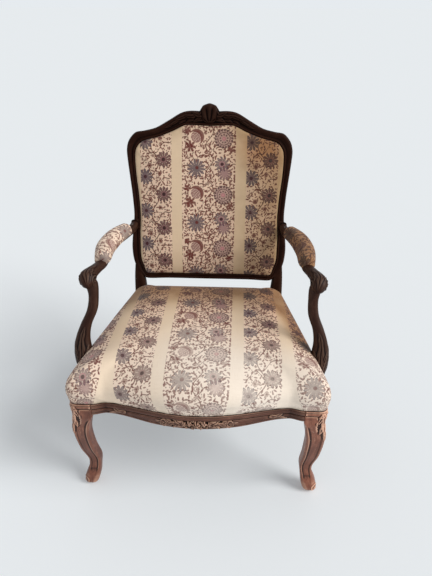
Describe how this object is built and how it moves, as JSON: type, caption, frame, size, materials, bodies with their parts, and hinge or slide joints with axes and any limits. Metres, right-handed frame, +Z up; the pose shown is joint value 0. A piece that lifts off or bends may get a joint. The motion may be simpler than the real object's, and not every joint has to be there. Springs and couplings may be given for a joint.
{
  "type": "open armchair",
  "caption": "Open armchair with a carved walnut frame, cabriole legs, scrolled arms with small pads, and a seat and back upholstered in a faded striped floral print.",
  "frame": {"origin": "on the floor, under the middle of the whole chair", "axes": "+X to the right as the chair is seen from the front, +Y to its back, +Z up"},
  "size_m": [0.7224, 0.7316, 1.0204],
  "materials": {
    "walnut": "old wax over a dark stain, rubbed and scratched",
    "beech": "bare",
    "printed_cotton": "faded and lightly soiled",
    "stuffing": "curled hair",
    "jute": "coarse weave",
    "dust_cloth": "thin plain weave",
    "spring_steel": "dull"
  },
  "bodies": {
    "root": {"front_rail": "walnut", "rear_rail": "beech", "crest_rail": "walnut", "back_bottom_rail": "walnut", "front_leg_left": "walnut", "rear_leg_left": "walnut", "arm_left": "walnut", "side_rail_left": "walnut", "arm_support_left": "walnut", "front_leg_right": "walnut", "rear_leg_right": "walnut", "arm_right": "walnut", "side_rail_right": "walnut", "arm_support_right": "walnut", "corner_block_front_left": "beech", "corner_block_rear_left": "beech", "corner_block_front_right": "beech", "corner_block_rear_right": "beech", "front_rail_peg_left": "beech", "side_rail_peg_left": "beech", "front_rail_peg_right": "beech", "side_rail_peg_right": "beech", "crest_peg_left": "beech", "crest_peg_right": "beech", "arm_back_screw_left": "spring_steel", "arm_support_screw_left": "spring_steel", "arm_dowel_left": "beech", "arm_back_screw_right": "spring_steel", "arm_support_screw_right": "spring_steel", "arm_dowel_right": "beech", "seat_webbing_long_1": "jute", "seat_webbing_long_2": "jute", "seat_webbing_long_3": "jute", "seat_webbing_long_4": "jute", "seat_webbing_cross_1": "jute", "seat_webbing_cross_2": "jute", "seat_webbing_cross_3": "jute", "seat_webbing_cross_4": "jute", "seat_spring_1": "spring_steel", "seat_spring_2": "spring_steel", "seat_spring_3": "spring_steel", "seat_spring_4": "spring_steel", "seat_spring_5": "spring_steel", "seat_hessian": "jute", "seat_stuffing": "stuffing", "seat_cover": "printed_cotton", "dust_cover": "dust_cloth", "back_webbing_upright_1": "jute", "back_webbing_upright_2": "jute", "back_webbing_level_1": "jute", "back_webbing_level_2": "jute", "back_hessian": "jute", "back_cover": "printed_cotton", "back_stuffing": "stuffing", "outside_back": "printed_cotton", "arm_pad_cover_left": "printed_cotton", "arm_pad_stuffing_left": "stuffing", "arm_pad_cover_right": "printed_cotton", "arm_pad_stuffing_right": "stuffing"}
  },
  "joints": []
}
